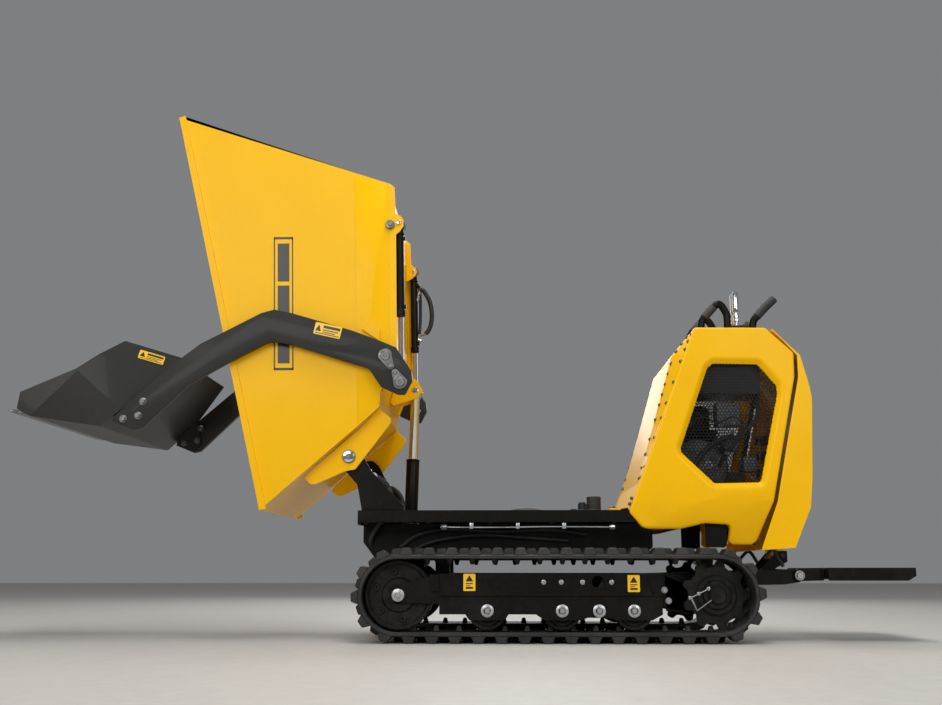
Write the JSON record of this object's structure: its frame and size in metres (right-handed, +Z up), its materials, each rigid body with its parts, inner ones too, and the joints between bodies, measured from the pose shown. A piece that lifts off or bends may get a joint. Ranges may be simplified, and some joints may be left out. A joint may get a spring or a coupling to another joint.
{
  "type": "tracked mini dumper",
  "caption": "Walk-behind tracked mini dumper with a high-tipping yellow skip raised on a lift ram, a self-loading shovel on bent arms, and an engine console over rubber tracks.",
  "frame": {"origin": "on the ground, at the middle of the whole machine's length and width with the skip tipped", "axes": "+Z up, -Y towards the shovel and the front, +X to the machine's left"},
  "size_m": [0.78, 2.93, 1.7732],
  "materials": {
    "yellow_paint": "gloss",
    "grey_paint": "satin",
    "cutting_steel": "worn",
    "black_paint": "satin",
    "wheel_steel": "satin",
    "chrome": "polished",
    "track_rubber": "matt",
    "hose_rubber": "satin",
    "zinc": "satin",
    "engine_metal": "cast",
    "black_plastic": "matt"
  },
  "bodies": {
    "chassis": {"deck_frame": "black_paint", "cross_tubes": "black_paint", "track_frame_left": "black_paint", "track_frame_right": "black_paint", "track_covers": "black_paint", "rubber_track_left": "track_rubber", "rubber_track_right": "track_rubber", "drive_motors": "wheel_steel", "towers": "black_paint", "skip_buffers": "hose_rubber", "deck_pipe": "zinc", "engine_block": "engine_metal", "fan_shroud": "black_paint", "muffler": "zinc", "air_cleaner": "black_plastic", "fuel_tank": "black_plastic", "hydraulic_tank": "black_paint", "gear_pump": "engine_metal", "control_valve": "engine_metal", "side_panel_left": "yellow_paint", "side_panel_right": "yellow_paint", "grilles": "black_paint", "front_panel": "yellow_paint", "top_panel": "yellow_paint", "grab_handles": "black_paint", "lever_boot": "hose_rubber", "platform_brackets": "black_paint", "frame_bolts": "chrome", "tower_hoses": "hose_rubber"},
    "rear_cover": {"rear_cover": "yellow_paint"},
    "platform": {"platform_tread": "black_paint"},
    "left_lever": {"lever_left": "chrome"},
    "right_lever": {"lever_right": "chrome"},
    "skip": {"skip_shell": "yellow_paint", "hinge_lugs": "yellow_paint", "cylinder_brackets": "yellow_paint", "skip_pins": "chrome"},
    "loader": {"arm_left": "grey_paint", "arm_right": "grey_paint", "shovel": "grey_paint", "cutting_edge": "cutting_steel", "arm_pins": "chrome", "shovel_bolts": "chrome"},
    "loader_barrels": {"loader_barrel_left": "black_paint", "loader_barrel_right": "black_paint"},
    "loader_rods": {"loader_rod_left": "chrome", "loader_rod_right": "chrome"},
    "lift_barrel": {"tip_barrel": "black_paint"},
    "lift_stage": {"tip_stage": "black_paint"},
    "lift_rod": {"tip_rod": "chrome"},
    "left_sprocket": {"sprocket_left": "wheel_steel"},
    "left_idler": {"idler_left": "wheel_steel"},
    "left_roller_1": {"roller_left_1": "wheel_steel"},
    "left_roller_2": {"roller_left_2": "wheel_steel"},
    "left_roller_3": {"roller_left_3": "wheel_steel"},
    "right_sprocket": {"sprocket_right": "wheel_steel"},
    "right_idler": {"idler_right": "wheel_steel"},
    "right_roller_1": {"roller_right_1": "wheel_steel"},
    "right_roller_2": {"roller_right_2": "wheel_steel"},
    "right_roller_3": {"roller_right_3": "wheel_steel"}
  },
  "joints": [
    {"name": "skip_tip", "type": "hinge", "parent": "chassis", "child": "skip", "pos_m": [0, -0.362, 0.589], "axis": [1, 0, 0], "range_deg": [-88, 0]},
    {"name": "loader_lift", "type": "hinge", "parent": "skip", "child": "loader", "pos_m": [0, -0.24, 0.912], "axis": [1, 0, 0], "range_deg": [-15, 38]},
    {"name": "loader_barrel_swing", "type": "hinge", "parent": "skip", "child": "loader_barrels", "pos_m": [0, -0.205, 1.379], "axis": [1, 0, 0], "range_deg": [-2.1, 5.32]},
    {"name": "loader_rod_slide", "type": "slide", "parent": "loader_barrels", "child": "loader_rods", "axis": [0, 0.0253, -0.9997], "range_m": [-0.038, 0.015]},
    {"name": "lift_barrel_swing", "type": "hinge", "parent": "chassis", "child": "lift_barrel", "pos_m": [0, -0.188, 0.13], "axis": [1, 0, 0], "range_deg": [-17.26, 0]},
    {"name": "lift_stage_slide", "type": "slide", "parent": "lift_barrel", "child": "lift_stage", "axis": [0, 0.0278, 0.9996], "range_m": [-0.2153, 0]},
    {"name": "lift_rod_slide", "type": "slide", "parent": "lift_stage", "child": "lift_rod", "axis": [0, 0.0278, 0.9996], "range_m": [-0.2153, 0]},
    {"name": "left_sprocket_spin", "type": "hinge", "parent": "chassis", "child": "left_sprocket", "pos_m": [0.28, 0.812, 0.147], "axis": [1, 0, 0], "continuous": true},
    {"name": "left_idler_spin", "type": "hinge", "parent": "chassis", "child": "left_idler", "pos_m": [0.28, -0.19, 0.147], "axis": [1, 0, 0], "continuous": true},
    {"name": "left_roller_1_spin", "type": "hinge", "parent": "chassis", "child": "left_roller_1", "pos_m": [0.28, 0.091, 0.099], "axis": [1, 0, 0], "continuous": true},
    {"name": "left_roller_2_spin", "type": "hinge", "parent": "chassis", "child": "left_roller_2", "pos_m": [0.28, 0.326, 0.099], "axis": [1, 0, 0], "continuous": true},
    {"name": "left_roller_3_spin", "type": "hinge", "parent": "chassis", "child": "left_roller_3", "pos_m": [0.28, 0.551, 0.099], "axis": [1, 0, 0], "continuous": true},
    {"name": "right_sprocket_spin", "type": "hinge", "parent": "chassis", "child": "right_sprocket", "pos_m": [-0.28, 0.812, 0.147], "axis": [1, 0, 0], "continuous": true},
    {"name": "right_idler_spin", "type": "hinge", "parent": "chassis", "child": "right_idler", "pos_m": [-0.28, -0.19, 0.147], "axis": [1, 0, 0], "continuous": true},
    {"name": "right_roller_1_spin", "type": "hinge", "parent": "chassis", "child": "right_roller_1", "pos_m": [-0.28, 0.091, 0.099], "axis": [1, 0, 0], "continuous": true},
    {"name": "right_roller_2_spin", "type": "hinge", "parent": "chassis", "child": "right_roller_2", "pos_m": [-0.28, 0.326, 0.099], "axis": [1, 0, 0], "continuous": true},
    {"name": "right_roller_3_spin", "type": "hinge", "parent": "chassis", "child": "right_roller_3", "pos_m": [-0.28, 0.551, 0.099], "axis": [1, 0, 0], "continuous": true},
    {"name": "platform_fold", "type": "hinge", "parent": "chassis", "child": "platform", "pos_m": [0, 1.108, 0.207], "axis": [1, 0, 0], "range_deg": [0, 72]},
    {"name": "rear_cover_open", "type": "hinge", "parent": "chassis", "child": "rear_cover", "pos_m": [0, 1.086, 0.271], "axis": [1, 0, 0], "range_deg": [-60, 0]},
    {"name": "left_lever_tilt", "type": "hinge", "parent": "chassis", "child": "left_lever", "pos_m": [0.017, 0.985, 1.04], "axis": [1, 0, 0], "range_deg": [-12, 12], "stiffness_Nm_per_rad": 8},
    {"name": "right_lever_tilt", "type": "hinge", "parent": "chassis", "child": "right_lever", "pos_m": [-0.017, 0.985, 1.04], "axis": [1, 0, 0], "range_deg": [-12, 12], "stiffness_Nm_per_rad": 8}
  ],
  "couplings": [
    {"joint": "loader_barrel_swing", "follows": "loader_lift", "ratio": 0.14},
    {"joint": "loader_rod_slide", "follows": "loader_lift", "m_per_rad": -0.0573},
    {"joint": "lift_barrel_swing", "follows": "skip_tip", "ratio": 0.19614},
    {"joint": "lift_stage_slide", "follows": "skip_tip", "m_per_rad": 0.14018},
    {"joint": "lift_rod_slide", "follows": "skip_tip", "m_per_rad": 0.14018},
    {"joint": "left_idler_spin", "follows": "left_sprocket_spin", "ratio": 1.037},
    {"joint": "left_roller_1_spin", "follows": "left_sprocket_spin", "ratio": 1.8361},
    {"joint": "left_roller_2_spin", "follows": "left_sprocket_spin", "ratio": 1.8361},
    {"joint": "left_roller_3_spin", "follows": "left_sprocket_spin", "ratio": 1.8361},
    {"joint": "right_idler_spin", "follows": "right_sprocket_spin", "ratio": 1.037},
    {"joint": "right_roller_1_spin", "follows": "right_sprocket_spin", "ratio": 1.8361},
    {"joint": "right_roller_2_spin", "follows": "right_sprocket_spin", "ratio": 1.8361},
    {"joint": "right_roller_3_spin", "follows": "right_sprocket_spin", "ratio": 1.8361}
  ]
}
